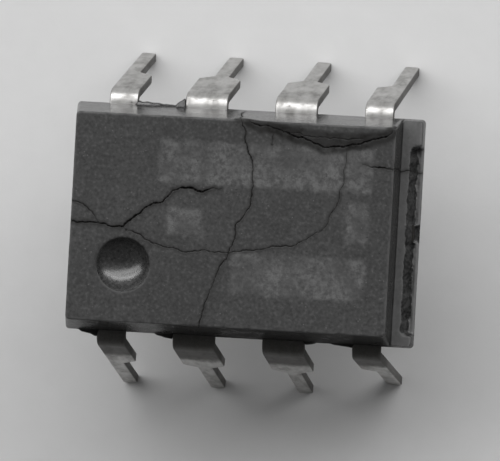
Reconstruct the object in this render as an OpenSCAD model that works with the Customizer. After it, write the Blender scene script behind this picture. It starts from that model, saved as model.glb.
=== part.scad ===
// Eight-lead plastic dual in-line package. The two rows of leads run along X, leads 1 to 4 on
// the -Y side from -X to +X and leads 5 to 8 on the +Y side back again. The lead tips stand on
// Z = 0. All sizes are in millimetres.

/* [Moulded body] */
// Length of the body at its parting line
body_len = 9.86; // [9.4:0.02:10.2]
// Width of the body at its parting line
body_wid = 6.4; // [6.1:0.02:6.8]
// Height of the upper half above the parting line
upper_h = 1.65; // [1.4:0.05:2]
// Depth of the lower half below the parting line
lower_h = 1.65; // [1.4:0.05:2]
// Draft of the two long sides, in degrees
side_draft = 10.3; // [5:0.1:14]
// Draft of the two short ends, in degrees
end_draft = 8; // [4:0.1:12]
// Height of the narrow flat land along the parting line
land_h = 0.05; // [0.02:0.01:0.1]

/* [Stepped end] */
// Setback of the upper wall at the +X end, at the height of the shelf
step_back = 0.6; // [0.45:0.01:0.8]
// Draft of the set-back wall, in degrees
step_draft = 1.4; // [0.5:0.1:4]
// Height of the shelf above the parting line
shelf_h = 0.33; // [0.2:0.01:0.5]
// Width of the shelf
shelf_w = 0.27; // [0.15:0.01:0.3]
// Width of the sloped break between the shelf and the rim
break_w = 0.19; // [0.1:0.01:0.22]
// Length of the corner at the -Y side that did not break off
kept_front = 0.4; // [0.1:0.05:1]
// Length of the corner at the +Y side that did not break off
kept_back = 0.82; // [0.1:0.02:1.2]

/* [Index dimple] */
// Diameter of the round index mark beside lead 1
dimple_d = 1.52; // [1:0.02:1.8]
// Depth of the index mark
dimple_depth = 0.68; // [0.3:0.02:0.74]
// Distance of the index mark from the -X edge of the top face
dimple_from_end = 1.54; // [1.1:0.01:2]
// Distance of the index mark from the -Y edge of the top face
dimple_from_side = 1.6; // [1.2:0.01:2]

/* [Mould marks] */
// Diameter of the two ejector pin marks in the underside
ejector_d = 1.1; // [0.6:0.05:1.5]
// Depth of the ejector pin marks
ejector_depth = 0.08; // [0.03:0.01:0.15]
// Distance from the middle to each ejector pin mark
ejector_x = 2.9; // [2:0.1:3.6]

/* [Leads] */
// Spacing of the leads along a row
pitch = 2.54; // [2.5:0.01:2.6]
// Thickness of the lead frame
lead_t = 0.25; // [0.2:0.01:0.3]
// Width of the shoulder of a middle lead
shoulder_w = 1.19; // [1:0.01:1.5]
// Width of the narrow tip of every lead
tip_w = 0.42; // [0.38:0.01:0.51]
// Distance from the rim of the body out to the outer face of a lead
bend_gap = 0.37; // [0.3:0.01:0.5]
// Inner radius of the bend
bend_r = 0.1; // [0.05:0.01:0.2]
// Outward lean of the lead legs, in degrees
splay_angle = 11.8; // [4:0.1:14]
// Outward lean of lead 4, which is pushed in, in degrees
splay_angle_4 = 8; // [4:0.1:14]
// Drop from the lead frame to the board stop of the wide shoulders
stop_drop = 2.3; // [2:0.05:2.7]
// Drop over which a shoulder narrows to the tip
taper_drop = 0.38; // [0.1:0.02:0.6]
// Length of the narrow tips below the board stops
tip_drop = 3.25; // [2.92:0.05:3.43]
// Corner cut at each tip
tip_cut = 0.05; // [0.02:0.01:0.1]

/* [Lead frame inside the body] */
// Width of a lead finger inside the body
finger_w = 0.6; // [0.5:0.02:0.8]
// Depth of the wide root of a lead behind the body wall
root_depth = 0.95; // [0.7:0.05:1.1]
// Diameter of the locking hole in the root of a lead
lock_hole_d = 0.4; // [0.3:0.02:0.5]
// Length of the die paddle
paddle_len = 3; // [2.6:0.05:3.2]
// Width of the die paddle
paddle_wid = 2; // [1.6:0.05:2.2]
// Gap between the paddle and the finger ends
finger_gap = 0.25; // [0.2:0.01:0.35]
// Step down of the paddle below the lead fingers
downset = 0.2; // [0.1:0.01:0.25]
// Width of the tie bars that carry the paddle
tie_w = 0.48; // [0.3:0.02:0.5]
// Setback of the sheared tie bar ends from the rim of the body
tie_recess = 0.16; // [0.1:0.01:0.25]

/* [Die and bond wires] */
// Length of the silicon die
die_len = 1.5; // [1.2:0.05:1.7]
// Width of the silicon die
die_wid = 1.3; // [1:0.05:1.4]
// Thickness of the silicon die
die_t = 0.3; // [0.2:0.02:0.4]
// Thickness of the silver-filled die attach
attach_t = 0.03; // [0.02:0.01:0.05]
// Width of the die attach that squeezes out round the die
attach_edge = 0.08; // [0.04:0.01:0.15]
// Diameter of a bond wire
wire_d = 0.03; // [0.02:0.005:0.05]
// Height of a wire loop above the die
loop_h = 0.22; // [0.15:0.01:0.3]
// Diameter of the ball that starts each wire on the die
ball_d = 0.09; // [0.07:0.01:0.12]
// Distance of the bond pads from the edge of the die
pad_inset = 0.12; // [0.08:0.01:0.2]

/* [Cracks in the top face] */
// Width of the cracks at the surface
crack_w = 0.07; // [0.04:0.01:0.12]
// Depth of the cracks
crack_depth = 0.2; // [0.1:0.01:0.4]

/* [Hidden] */
$fn = 64;

// Heights: the lead tips stand on Z = 0 and the parting plane is the middle of the lead frame
frame_z = stop_drop + tip_drop;
frame_top = frame_z + lead_t / 2;
top_z = frame_z + upper_h;

// Body outline, from the middle of the part
half_len = body_len / 2;
half_wid = body_wid / 2;
land = land_h / 2;
end_in_upper = (upper_h - land) * tan(end_draft);
end_in_lower = (lower_h - land) * tan(end_draft);
side_in_upper = (upper_h - land) * tan(side_draft);
side_in_lower = (lower_h - land) * tan(side_draft);
step_foot = half_len - step_back;
step_in = (upper_h - shelf_h) * tan(step_draft);
shelf_end = half_len - (shelf_h - land) * tan(end_draft);
break_top = step_foot + shelf_w;
break_foot = break_top + break_w;

// Index mark: the ball whose cap has the stated diameter and depth
dimple_r = (pow(dimple_d / 2, 2) + pow(dimple_depth, 2)) / (2 * dimple_depth);
dimple_x = -half_len + end_in_upper + dimple_from_end;
dimple_y = -half_wid + side_in_upper + dimple_from_side;

// Leads
bend_out = bend_r + lead_t;
function lead_splay(n) = n == 4 ? splay_angle_4 : splay_angle;
function lead_x(n) = pitch * (n <= 4 ? n - 2.5 : 6.5 - n);
function lead_side(n) = n <= 4 ? -1 : 1;
function is_end_lead(n) = n == 1 || n == 4 || n == 5 || n == 8;
// An end lead has no outer half shoulder: this is +1 or -1 towards the end of the body, or 0
function outer_end(n) = is_end_lead(n) ? sign(lead_x(n)) : 0;
// Where the flat of a lead ends and its bend begins, for a leg that leans by the angle a
function flat_end(a) = half_wid + bend_gap - bend_out * tan((90 - a) / 2);

// Paddle, die and wires, from the bottom up
paddle_z = frame_z - downset - lead_t / 2;
attach_z = paddle_z + lead_t;
die_z = attach_z + attach_t;
die_top = die_z + die_t;
tie_end = half_len - tie_recess;
tie_level = 0.3;
tie_slope_in = paddle_len / 2 + tie_level;
tie_slope_out = tie_slope_in + 2 * downset;

// Inner ends of the fingers
mid_tip_y = paddle_wid / 2 + finger_gap;
end_tip_x = paddle_len / 2 + finger_gap;
end_tip_y = tie_w / 2 + finger_gap;
stitch_in = 0.2;
// Overlap of the finger with the root that it grows from
weld = 0.1;

// Bond pads, as fractions of the die from its middle: rows for end leads and for middle leads
end_pad = 0.22;
mid_pad = 0.3;

// Bond wires. A loop rises steeply off its ball and then falls towards the finger: the heights of
// its two control points are multiples of the loop height, the second lies part way along
ball_h = 0.02;
loop_rise = 1.4;
loop_fall = 1.2;
loop_turn = 0.45;
wire_sides = 8;
wire_rings = 10;

// Webs of resin: lead, +1 or -1 along X, run along the wall, reach at the lead and at the far end
web_root = 0.2;
WEBS = [
    [1, -1, 0.5, 0.16, 0.01], [2, -1, 0.5, 0.14, 0.02], [3, 1, 0.3, 0.08, 0.01],
    [4, -1, 0.6, 0.08, 0.06], [7, -1, 0.25, 0.26, 0.07], [8, 1, 1.2, 0.1, 0.06]
];

// Bites in the edge of the shelf: place as a fraction of the half width, width and depth
BITES = [[0.56, 0.24, 0.09], [0.43, 0.18, 0.05], [0.12, 0.42, 0.07], [-0.1, 0.2, 0.05],
         [-0.39, 0.5, 0.1], [-0.72, 0.26, 0.08]];

// Cracks, as fractions of the half length and half width of the body
CRACKS = [
    [[-1.05, 0.17], [-0.87, 0.08], [-0.81, -0.02], [-0.79, -0.06]],
    [[-1.05, -0.05], [-0.79, -0.06], [-0.65, -0.08], [-0.53, 0.1], [-0.43, 0.16], [-0.38, 0.26],
     [-0.32, 0.29], [-0.1, 0.3]],
    [[-0.65, -0.08], [-0.53, -0.17], [-0.42, -0.23], [-0.3, -0.27], [-0.18, -0.24], [0.14, -0.21],
     [0.27, -0.17], [0.4, -0.1], [0.48, -0.02], [0.53, 0.14], [0.57, 0.26], [0.59, 0.39],
     [0.6, 0.66], [0.58, 0.75]],
    [[-0.02, 1.05], [0.02, 0.81], [0.07, 0.52], [0.08, 0.34], [0.07, 0.17], [-0.01, -0.01],
     [-0.05, -0.31], [-0.11, -0.48], [-0.16, -0.7], [-0.19, -1.05]],
    [[0.03, 1.05], [0.19, 0.83], [0.27, 0.79], [0.4, 0.74], [0.56, 0.73], [0.65, 0.78],
     [0.74, 0.82], [0.84, 0.89]],
    [[0.18, 0.84], [0.17, 0.71]],
    [[0.73, 0.55], [0.95, 0.54]]
];

// A solid with one outline from the front and another from the end, as the drafted halves need
module body_blank() {
    intersection() {
        translate([0, half_wid + 1, frame_z])
            rotate([90, 0, 0])
                linear_extrude(body_wid + 2) polygon([
                    [-half_len, -land], [-half_len + end_in_lower, -lower_h],
                    [half_len - end_in_lower, -lower_h], [half_len, -land], [half_len, land],
                    [shelf_end, shelf_h], [step_foot, shelf_h], [step_foot - step_in, upper_h],
                    [-half_len + end_in_upper, upper_h], [-half_len, land]
                ]);
        translate([-half_len - 1, 0, frame_z])
            rotate([90, 0, 90])
                linear_extrude(body_len + 2) polygon([
                    [-half_wid, -land], [-half_wid + side_in_lower, -lower_h],
                    [half_wid - side_in_lower, -lower_h], [half_wid, -land], [half_wid, land],
                    [half_wid - side_in_upper, upper_h], [-half_wid + side_in_upper, upper_h],
                    [-half_wid, land]
                ]);
    }
}

// The shelf has broken off outside a slope between two corners that stayed whole, and the
// break has bitten deeper in places
module broken_band() {
    translate([0, half_wid - kept_back, frame_z])
        rotate([90, 0, 0])
            linear_extrude(body_wid - kept_back - kept_front) polygon([
                [break_top, shelf_h], [break_foot, land], [half_len + 1, land],
                [half_len + 1, shelf_h + 1], [break_top, shelf_h + 1]
            ]);
    for (b = BITES)
        translate([0, b[0] * half_wid, frame_z + land])
            linear_extrude(shelf_h + 1) polygon([
                [break_foot, -b[1] / 2], [break_top - b[2] / 2, -b[1] / 2],
                [break_top - b[2], -b[1] / 6], [break_top - b[2] * 0.8, b[1] / 4],
                [break_top, b[1] / 2], [break_foot, b[1] / 2]
            ]);
}

// Resin that crept between the leads up to the dam bar and broke off there: a thin web of the
// lead's thickness that starts at the edge of a shoulder and runs along the wall
module dam_web(n, toward, run, out_near, out_far) {
    edge = lead_x(n) + toward * (outer_end(n) == toward ? tip_w : shoulder_w) / 2;
    side = lead_side(n);
    far = edge + toward * run;
    translate([0, 0, frame_z - lead_t / 2])
        linear_extrude(lead_t) polygon([
            [edge, side * (half_wid - web_root)], [edge, side * (half_wid + out_near)],
            [far, side * (half_wid + out_far)], [far, side * (half_wid - web_root)]
        ]);
}

// One crack: a narrow trench along a broken line, pointed at both ends
module crack(points) {
    last = len(points) - 1;
    line = [for (p = points) [p[0] * half_len, p[1] * half_wid]];
    aim = [for (i = [0:last]) line[min(i + 1, last)] - line[max(i - 1, 0)]];
    side = [for (i = [0:last]) [-aim[i][1], aim[i][0]] / norm(aim[i]) * crack_w / 2];
    translate([0, 0, top_z - crack_depth])
        linear_extrude(crack_depth + 1) polygon(concat(
            [line[0]], [for (i = [1:last - 1]) line[i] + side[i]],
            [line[last]], [for (i = [last - 1:-1:1]) line[i] - side[i]]
        ));
}

// A crack of two points has no inner points to widen, so it is a plain narrow slot
module short_crack(points) {
    a = [points[0][0] * half_len, points[0][1] * half_wid];
    b = [points[1][0] * half_len, points[1][1] * half_wid];
    translate([a[0], a[1], top_z - crack_depth])
        rotate([0, 0, atan2(b[1] - a[1], b[0] - a[0])])
            translate([0, -crack_w / 4, 0])
                cube([norm(b - a), crack_w / 2, crack_depth + 1]);
}

module index_dimple() {
    translate([dimple_x, dimple_y, top_z + dimple_r - dimple_depth]) sphere(dimple_r);
}

module ejector_marks() {
    for (x = [-ejector_x, ejector_x])
        translate([x, 0, frame_z - lower_h - 1]) cylinder(h = 1 + ejector_depth, d = ejector_d);
}

// The gaps that the sheared tie bars leave in the rim at both ends
module tie_notches() {
    for (end = [-1, 1])
        translate([end * (tie_end + 1), 0, frame_z]) cube([2, tie_w, lead_t], center = true);
}

module body() {
    color([0.2, 0.2, 0.21]) difference() {
        union() {
            body_blank();
            for (w = WEBS) dam_web(w[0], w[1], w[2], w[3], w[4]);
        }
        for (n = [1:8]) {
            lead(n);
            bond_wire(n);
        }
        paddle_solid();
        attach_solid();
        die_solid();
        broken_band();
        index_dimple();
        ejector_marks();
        tie_notches();
        for (c = CRACKS) if (len(c) > 2) crack(c); else short_crack(c);
    }
}

// The flat of a lead in plan, with X from its own centre line and Y outwards from the middle of
// the part: wide root with a locking hole, then a finger that reaches the paddle
module lead_plan(n, y_out) {
    e = outer_end(n);
    low = e < 0 ? -tip_w / 2 : -shoulder_w / 2;
    high = e > 0 ? tip_w / 2 : shoulder_w / 2;
    root_y = half_wid - root_depth;
    // X of the end finger's tip, seen from the lead's own centre line
    tip_x = e * (end_tip_x - abs(lead_x(n)));
    root_in = -e * shoulder_w / 2;
    difference() {
        union() {
            polygon([[low, root_y], [high, root_y], [high, y_out], [low, y_out]]);
            if (e == 0)
                translate([-finger_w / 2, mid_tip_y])
                    square([finger_w, root_y - mid_tip_y + weld]);
            else
                polygon([
                    [root_in, root_y + weld], [root_in, root_y],
                    [tip_x, end_tip_y + finger_w], [tip_x, end_tip_y],
                    [tip_x + e * finger_w, end_tip_y], [root_in + e * finger_w, root_y],
                    [root_in + e * finger_w, root_y + weld]
                ]);
        }
        translate([(low + high) / 2, root_y + root_depth / 2]) circle(d = lock_hole_d);
    }
}

// The leg of a lead laid flat, with Y along the leg from the end of its bend: wide shoulder down
// to the board stop, taper, and narrow tip
module leg_outline(n, stop, leg) {
    e = outer_end(n);
    w = shoulder_w / 2;
    t = tip_w / 2;
    left = e < 0 ? t : w;
    right = e > 0 ? t : w;
    polygon([
        [-left, 0], [-left, stop], [-t, stop + taper_drop], [-t, leg - tip_cut],
        [-t + tip_cut, leg], [t - tip_cut, leg], [t, leg - tip_cut],
        [t, stop + taper_drop], [right, stop], [right, 0]
    ]);
}

// Turns what is drawn for the +Y side over to the side that a lead is on
module on_side(n) {
    if (lead_side(n) > 0) children();
    else mirror([0, 1, 0]) children();
}

module lead(n) {
    a = lead_splay(n);
    e = outer_end(n);
    low = e < 0 ? -tip_w / 2 : -shoulder_w / 2;
    high = e > 0 ? tip_w / 2 : shoulder_w / 2;
    bend_y = flat_end(a);
    bend_z = frame_top - bend_out;
    // The square-cut tip stands on its inner edge
    leg = (bend_z + bend_r * sin(a)) / cos(a);
    stop = leg - tip_drop / cos(a);
    color([0.7, 0.7, 0.68]) translate([lead_x(n), 0, 0]) on_side(n) {
        translate([0, 0, frame_z - lead_t / 2]) linear_extrude(lead_t) lead_plan(n, bend_y);
        translate([low, bend_y, bend_z])
            rotate([90, 0, 90])
                rotate([0, 0, a])
                    rotate_extrude(angle = 90 - a)
                        translate([bend_r, 0]) square([lead_t, high - low]);
        translate([0, bend_y, bend_z])
            rotate([a - 90, 0, 0])
                translate([0, 0, bend_r]) linear_extrude(lead_t) leg_outline(n, stop, leg);
    }
}

// The paddle and its two tie bars are one stamping, pressed down below the fingers
module paddle_solid() {
    translate([0, 0, paddle_z + lead_t / 2])
        cube([paddle_len, paddle_wid, lead_t], center = true);
    low = paddle_z - frame_z;
    high = -lead_t / 2;
    translate([0, tie_w / 2, frame_z])
        rotate([90, 0, 0])
            linear_extrude(tie_w) polygon([
                [-tie_end, high], [-tie_slope_out, high], [-tie_slope_in, low],
                [tie_slope_in, low], [tie_slope_out, high], [tie_end, high],
                [tie_end, high + lead_t], [tie_slope_out, high + lead_t],
                [tie_slope_in, low + lead_t], [-tie_slope_in, low + lead_t],
                [-tie_slope_out, high + lead_t], [-tie_end, high + lead_t]
            ]);
}

module attach_solid() {
    translate([0, 0, attach_z + attach_t / 2])
        cube([die_len + 2 * attach_edge, die_wid + 2 * attach_edge, attach_t], center = true);
}

module die_solid() {
    translate([0, 0, die_z + die_t / 2]) cube([die_len, die_wid, die_t], center = true);
}

module die_paddle() { color([0.72, 0.7, 0.62]) paddle_solid(); }
module die_attach() { color([0.6, 0.6, 0.58]) attach_solid(); }
module die() { color([0.35, 0.38, 0.45]) die_solid(); }

// Bond pad on the die and stitch on the finger, in plan
function pad_at(n) = is_end_lead(n)
    ? [outer_end(n) * (die_len / 2 - pad_inset), lead_side(n) * die_wid * end_pad]
    : [sign(lead_x(n)) * die_len * mid_pad, lead_side(n) * (die_wid / 2 - pad_inset)];
function stitch_at(n) = is_end_lead(n)
    ? [outer_end(n) * (end_tip_x + stitch_in), lead_side(n) * (end_tip_y + finger_w / 2)]
    : [lead_x(n), lead_side(n) * (mid_tip_y + stitch_in)];

// The wire's loop in its own upright plane, as a cubic curve through four control points
function loop_point(c, t) = pow(1 - t, 3) * c[0] + 3 * t * pow(1 - t, 2) * c[1]
    + 3 * t * t * (1 - t) * c[2] + t * t * t * c[3];
function loop_aim(c, t) = pow(1 - t, 2) * (c[1] - c[0]) + 2 * t * (1 - t) * (c[2] - c[1])
    + t * t * (c[3] - c[2]);
// Across the wire in that plane; the last ring lies flat on the finger
function loop_across(c, t) = let (d = loop_aim(c, t) / norm(loop_aim(c, t)))
    t == 1 ? [-1 / d[1], 0] : [-d[1], d[0]];

module wire_loop(c) {
    r = wire_d / 2;
    points = [for (i = [0:wire_rings]) let (t = i / wire_rings, p = loop_point(c, t),
        q = loop_across(c, t)) for (j = [0:wire_sides - 1]) let (v = 360 * (j + 0.5) / wire_sides)
            [p[0] + r * cos(v) * q[0], r * sin(v), p[1] + r * cos(v) * q[1]]];
    sides = [for (i = [0:wire_rings - 1]) for (j = [0:wire_sides - 1])
        let (k = (j + 1) % wire_sides, a = i * wire_sides, b = a + wire_sides)
            for (f = [[a + j, b + j, b + k], [a + j, b + k, a + k]]) f];
    start = [for (j = [0:wire_sides - 1]) j];
    end = [for (j = [wire_sides - 1:-1:0]) wire_rings * wire_sides + j];
    polyhedron(points, concat([start], sides, [end]));
}

module bond_wire(n) {
    pad = pad_at(n);
    reach = stitch_at(n) - pad;
    run = norm(reach);
    top = die_top + ball_h;
    color([0.9, 0.72, 0.3]) translate([pad[0], pad[1], 0])
        rotate([0, 0, atan2(reach[1], reach[0])]) {
            translate([0, 0, die_top]) cylinder(h = ball_h, d = ball_d);
            wire_loop([[0, top], [0, top + loop_rise * loop_h],
                       [loop_turn * run, top + loop_fall * loop_h], [run, frame_top]]);
        }
}

module lead_1() { lead(1); }
module lead_2() { lead(2); }
module lead_3() { lead(3); }
module lead_4() { lead(4); }
module lead_5() { lead(5); }
module lead_6() { lead(6); }
module lead_7() { lead(7); }
module lead_8() { lead(8); }
module bond_wire_1() { bond_wire(1); }
module bond_wire_2() { bond_wire(2); }
module bond_wire_3() { bond_wire(3); }
module bond_wire_4() { bond_wire(4); }
module bond_wire_5() { bond_wire(5); }
module bond_wire_6() { bond_wire(6); }
module bond_wire_7() { bond_wire(7); }
module bond_wire_8() { bond_wire(8); }

body();
lead_1();
lead_2();
lead_3();
lead_4();
lead_5();
lead_6();
lead_7();
lead_8();
die_paddle();
die_attach();
die();
bond_wire_1();
bond_wire_2();
bond_wire_3();
bond_wire_4();
bond_wire_5();
bond_wire_6();
bond_wire_7();
bond_wire_8();
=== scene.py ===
# %% [markdown]
# # A small chip in its plastic package
#
# This lesson dresses an eight-lead dual in-line package: a block of black moulding compound
# with four formed leads along each long side. The frame that we load holds every solid at its
# real size and place. Our work is to build the two things that the eye meets, the moulding
# and the leads, with the edges, cracks and wear of an old part, and to give every surface a
# finish of its own.

# %% The frame
import math
import random

import bpy
import numpy as np
from mathutils import Matrix, Vector, noise
from mathutils.geometry import delaunay_2d_cdt


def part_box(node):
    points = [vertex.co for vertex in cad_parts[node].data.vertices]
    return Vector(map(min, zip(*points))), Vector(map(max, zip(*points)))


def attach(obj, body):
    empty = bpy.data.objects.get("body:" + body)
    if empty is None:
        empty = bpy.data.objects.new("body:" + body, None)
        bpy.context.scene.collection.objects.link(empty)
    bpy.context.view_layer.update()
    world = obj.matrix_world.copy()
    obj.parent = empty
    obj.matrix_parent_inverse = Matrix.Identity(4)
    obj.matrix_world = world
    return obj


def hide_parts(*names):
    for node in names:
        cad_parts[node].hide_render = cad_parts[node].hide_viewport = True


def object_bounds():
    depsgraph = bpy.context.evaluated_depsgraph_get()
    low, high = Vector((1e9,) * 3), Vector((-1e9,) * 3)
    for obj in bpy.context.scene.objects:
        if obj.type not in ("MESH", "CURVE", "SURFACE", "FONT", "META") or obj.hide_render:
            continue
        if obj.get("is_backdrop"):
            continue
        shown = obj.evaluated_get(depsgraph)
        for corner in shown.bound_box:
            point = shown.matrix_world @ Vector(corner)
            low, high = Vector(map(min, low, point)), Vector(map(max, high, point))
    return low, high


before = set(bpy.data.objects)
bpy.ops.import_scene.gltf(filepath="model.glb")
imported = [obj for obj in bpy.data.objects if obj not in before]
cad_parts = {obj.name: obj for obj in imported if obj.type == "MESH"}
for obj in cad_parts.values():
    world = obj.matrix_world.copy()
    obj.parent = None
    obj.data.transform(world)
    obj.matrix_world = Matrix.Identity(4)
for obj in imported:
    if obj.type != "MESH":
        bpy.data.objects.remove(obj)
cad_box = [list(corner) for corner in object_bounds()]
MM = 0.001  # the frame is in metres, and this lesson counts in millimetres
print("solids in the frame:", len(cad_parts))
print("whole part, mm:", [round((h - l) / MM, 2) for l, h in zip(*cad_box)])

# %% [markdown]
# ## Heights and widths
#
# The lead tips stand on zero. The two halves of the mould met at the middle of the lead frame,
# and that parting plane is the height from which everything on the body is counted. We read
# what we can from the solids, and the slopes of the walls are the mould's draft angles, which
# let the finished block slip out of its steel cavity.

# %% Sizes of the body
body_low, body_high = (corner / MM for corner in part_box("body"))
lead_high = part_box("lead_1")[1] / MM
THICK = 0.25  # the lead frame's sheet
PARTING = lead_high.z - THICK / 2
HALF_LEN = body_high.x
HALF_WID = 3.2
UP = body_high.z - PARTING
DOWN = PARTING - body_low.z
LAND = 0.025  # the upright strip on either side of the parting line
SIDE_SLOPE = math.tan(math.radians(10.3))
END_SLOPE = math.tan(math.radians(8))
TOP_LEFT = -HALF_LEN + (UP - LAND) * END_SLOPE
TOP_SIDE = HALF_WID - (UP - LAND) * SIDE_SLOPE
print("parting plane at", round(PARTING, 3), "top at", round(body_high.z, 3))

# %% [markdown]
# ## A profile with soft corners
#
# A moulded block has no knife edges: the cutter that made the mould left a small radius
# everywhere. One way to round a mesh is a bevel, but ours will carry cracks and broken edges
# that a bevel can't pass. So we draw each profile as a broken line, average it over a short
# length, and build the mesh on the averaged line. Its straight runs stay straight and each
# corner becomes a small arc.

# %% Profiles
def distances(points):
    """Distance along a broken line, at each of its points."""
    return np.concatenate([[0], np.cumsum(np.linalg.norm(np.diff(points, axis=0), axis=1))])


class Profile:
    """A broken line (position, drop) that can be asked for the point at any distance along it."""

    STEP = 0.004

    def __init__(self, points, soft, run=None):
        points = np.array(points, float)
        self.run = run = distances(points) if run is None else run
        self.middle = run[2] - points[2][0]  # distance along the line at which position is 0
        self.s, step = np.linspace(0, run[-1], int(run[-1] / self.STEP), retstep=True)
        self.table = np.stack([np.interp(self.s, run, points[:, k]) for k in (0, 1)], 1)
        reach = np.clip(np.minimum(self.s, self.s[-1] - self.s), step, soft)
        for _ in range(2):
            total = np.vstack([[0, 0], np.cumsum((self.table[1:] + self.table[:-1]) / 2, axis=0)])
            self.table = np.stack([
                np.interp(self.s + reach, self.s, total[:, k])
                - np.interp(self.s - reach, self.s, total[:, k])
                for k in (0, 1)
            ], 1) * (step / (2 * reach))[:, None]
            self.table[0], self.table[-1] = points[0], points[-1]

    def __call__(self, s):
        return np.interp(s, self.s, self.table[:, 0]), np.interp(s, self.s, self.table[:, 1])

    def where(self, position):
        """Distance along the line at which it first reaches that position."""
        rising = np.maximum.accumulate(self.table[:, 0]) + self.s * 1e-7
        return np.interp(position, rising, self.s)


STEP_FOOT = HALF_LEN - 0.6
SHELF_H, SHELF_W, BREAK_W = 0.33, 0.27, 0.19
TOP_RIGHT = STEP_FOOT - (UP - SHELF_H) * math.tan(math.radians(1.4))
SHELF_DROP = UP - SHELF_H

long_way = [
    (-HALF_LEN, UP), (-HALF_LEN, UP - LAND), (TOP_LEFT, 0), (TOP_RIGHT, 0),
    (STEP_FOOT, SHELF_DROP), (STEP_FOOT + SHELF_W, SHELF_DROP),
    (STEP_FOOT + SHELF_W + BREAK_W, UP - LAND), (HALF_LEN, UP - LAND), (HALF_LEN, UP),
]
across = [
    (-HALF_WID, UP), (-HALF_WID, UP - LAND), (-TOP_SIDE, 0),
    (TOP_SIDE, 0), (HALF_WID, UP - LAND), (HALF_WID, UP),
]
BOTTOM_END = HALF_LEN - (DOWN - LAND) * END_SLOPE
under_way = [
    (-HALF_LEN, DOWN), (-HALF_LEN, DOWN - LAND), (-BOTTOM_END, 0),
    (BOTTOM_END, 0), (HALF_LEN, DOWN - LAND), (HALF_LEN, DOWN),
]
SOFT = 0.035
upper_x, upper_y = Profile(long_way, SOFT), Profile(across, SOFT)
whole_end = list(long_way)
whole_end[6] = (HALF_LEN - (SHELF_H - LAND) * END_SLOPE, SHELF_DROP)
whole_end[7] = (HALF_LEN, UP - LAND)
unbroken_x = Profile(whole_end, SOFT, upper_x.run)
under_x, under_y = Profile(under_way, 0.06), Profile(across, SOFT)
print("along the top, mm:", round(upper_x.run[-1], 2), "across:", round(upper_y.run[-1], 2))

# %% [markdown]
# ## Points for the mesh
#
# A mesh is only as crisp as the points that it has where the shape turns. We unroll the top and
# its walls into one flat sheet, as if peeling the block, and scatter points on it: rows along
# every edge, rows beside every crack, rings in the round mark, and a loose net elsewhere. A
# point that falls too near an earlier one is dropped. Blender's Delaunay routine then joins
# them into well-shaped triangles.

# %% Scattering points
class Spots:
    """Points on the unrolled sheet, thinned so that the earlier ones win."""

    CELL = 0.06

    def __init__(self, low, high):
        self.low, self.high, self.points, self.cells = low, high, [], {}

    def add(self, points, gap):
        for p, q in np.asarray(points, float):
            if not (self.low[0] <= p <= self.high[0] and self.low[1] <= q <= self.high[1]):
                continue
            i, j = int(p // self.CELL), int(q // self.CELL)
            near = (
                other for m in (i - 1, i, i + 1) for n in (j - 1, j, j + 1)
                for other in self.cells.get((m, n), ())
            )
            if any((p - o[0]) ** 2 + (q - o[1]) ** 2 < gap * gap for o in near):
                continue
            self.cells.setdefault((i, j), []).append((p, q))
            self.points.append((p, q))

    def row(self, level, run, upright, gap):
        """One straight row through the places in run."""
        line = np.full_like(run, level)
        self.add(np.stack([line, run] if upright else [run, line], 1), gap)

    def rows(self, levels, upright, spacing, gap):
        """Straight rows at the given levels, along Y where upright is true and along X if not.
        Their two ends are left out: the border has points of its own."""
        start, stop = self.low[upright], self.high[upright]
        run = np.linspace(start, stop, int((stop - start) / spacing))[1:-1]
        for level in levels:
            self.row(level, run, upright, gap)

    def net(self, box, spacing, chance, gap):
        """A loose net of points over a box."""
        (x0, y0), (x1, y1) = box
        p, q = np.meshgrid(np.arange(x0, x1, spacing), np.arange(y0, y1, spacing * 0.87))
        p = p + (np.arange(p.shape[0]) % 2)[:, None] * spacing / 2
        shake = chance.uniform(-0.2, 0.2, (2,) + p.shape) * spacing
        self.add(np.stack([(p + shake[0]).ravel(), (q + shake[1]).ravel()], 1), gap)


def triangles(points, edges=()):
    """Joins flat points into triangles; returns the points and the corners of each triangle."""
    found = delaunay_2d_cdt([Vector(p) for p in points], list(edges), [], 0, 1e-7)
    return np.array([tuple(p) for p in found[0]]), np.array(found[2])


def circle(centre, radius, count):
    """Points round a circle."""
    turn = np.linspace(0, 2 * math.pi, count, endpoint=False)
    return np.array(centre) + radius * np.stack([np.cos(turn), np.sin(turn)], 1)


def leftward(aim):
    """Directions of length one, to the left of those given."""
    aim = aim / np.linalg.norm(aim, axis=1)[:, None]
    return np.stack([-aim[:, 1], aim[:, 0]], 1)


def to_stretch(points, a, b):
    """How far along the stretch from a to b each point lies, from 0 to 1, and how far off it."""
    run = b - a
    t = np.clip(((points - a) @ run) / (run @ run), 0, 1)
    return t, np.linalg.norm(points - a - t[:, None] * run, axis=1)


def wander(points, scale, seed=0.0):
    """Smooth random height at each point, between about -1 and 1."""
    return np.array([
        noise.noise((p[0] * scale + seed, p[1] * scale - seed, (p[2] if len(p) > 2 else 0) * scale))
        for p in points
    ])


def step_between(low, high, value):
    """Rises smoothly from 0 at low to 1 at high, or falls where low is the larger."""
    t = np.clip((value - low) / (high - low), 0, 1)
    return t * t * (3 - 2 * t)


def plateau(start, low, high, stop, value):
    """0 up to start, 1 from low to high, and 0 again from stop on."""
    return step_between(start, low, value) * step_between(stop, high, value)


print("helpers ready")

# %% [markdown]
# ## Cracks
#
# The moulding has cracked, as old parts do when moisture trapped inside boils off in a hot
# repair. A crack in brittle filled resin is never a smooth line: it turns at every grain. We
# give each one a few points, then split every stretch again and again and push the new middle
# aside. A short family tree, because cracks start from one another. The sheet is unrolled, so a
# line that runs past an edge of the top goes on down the wall.

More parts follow.
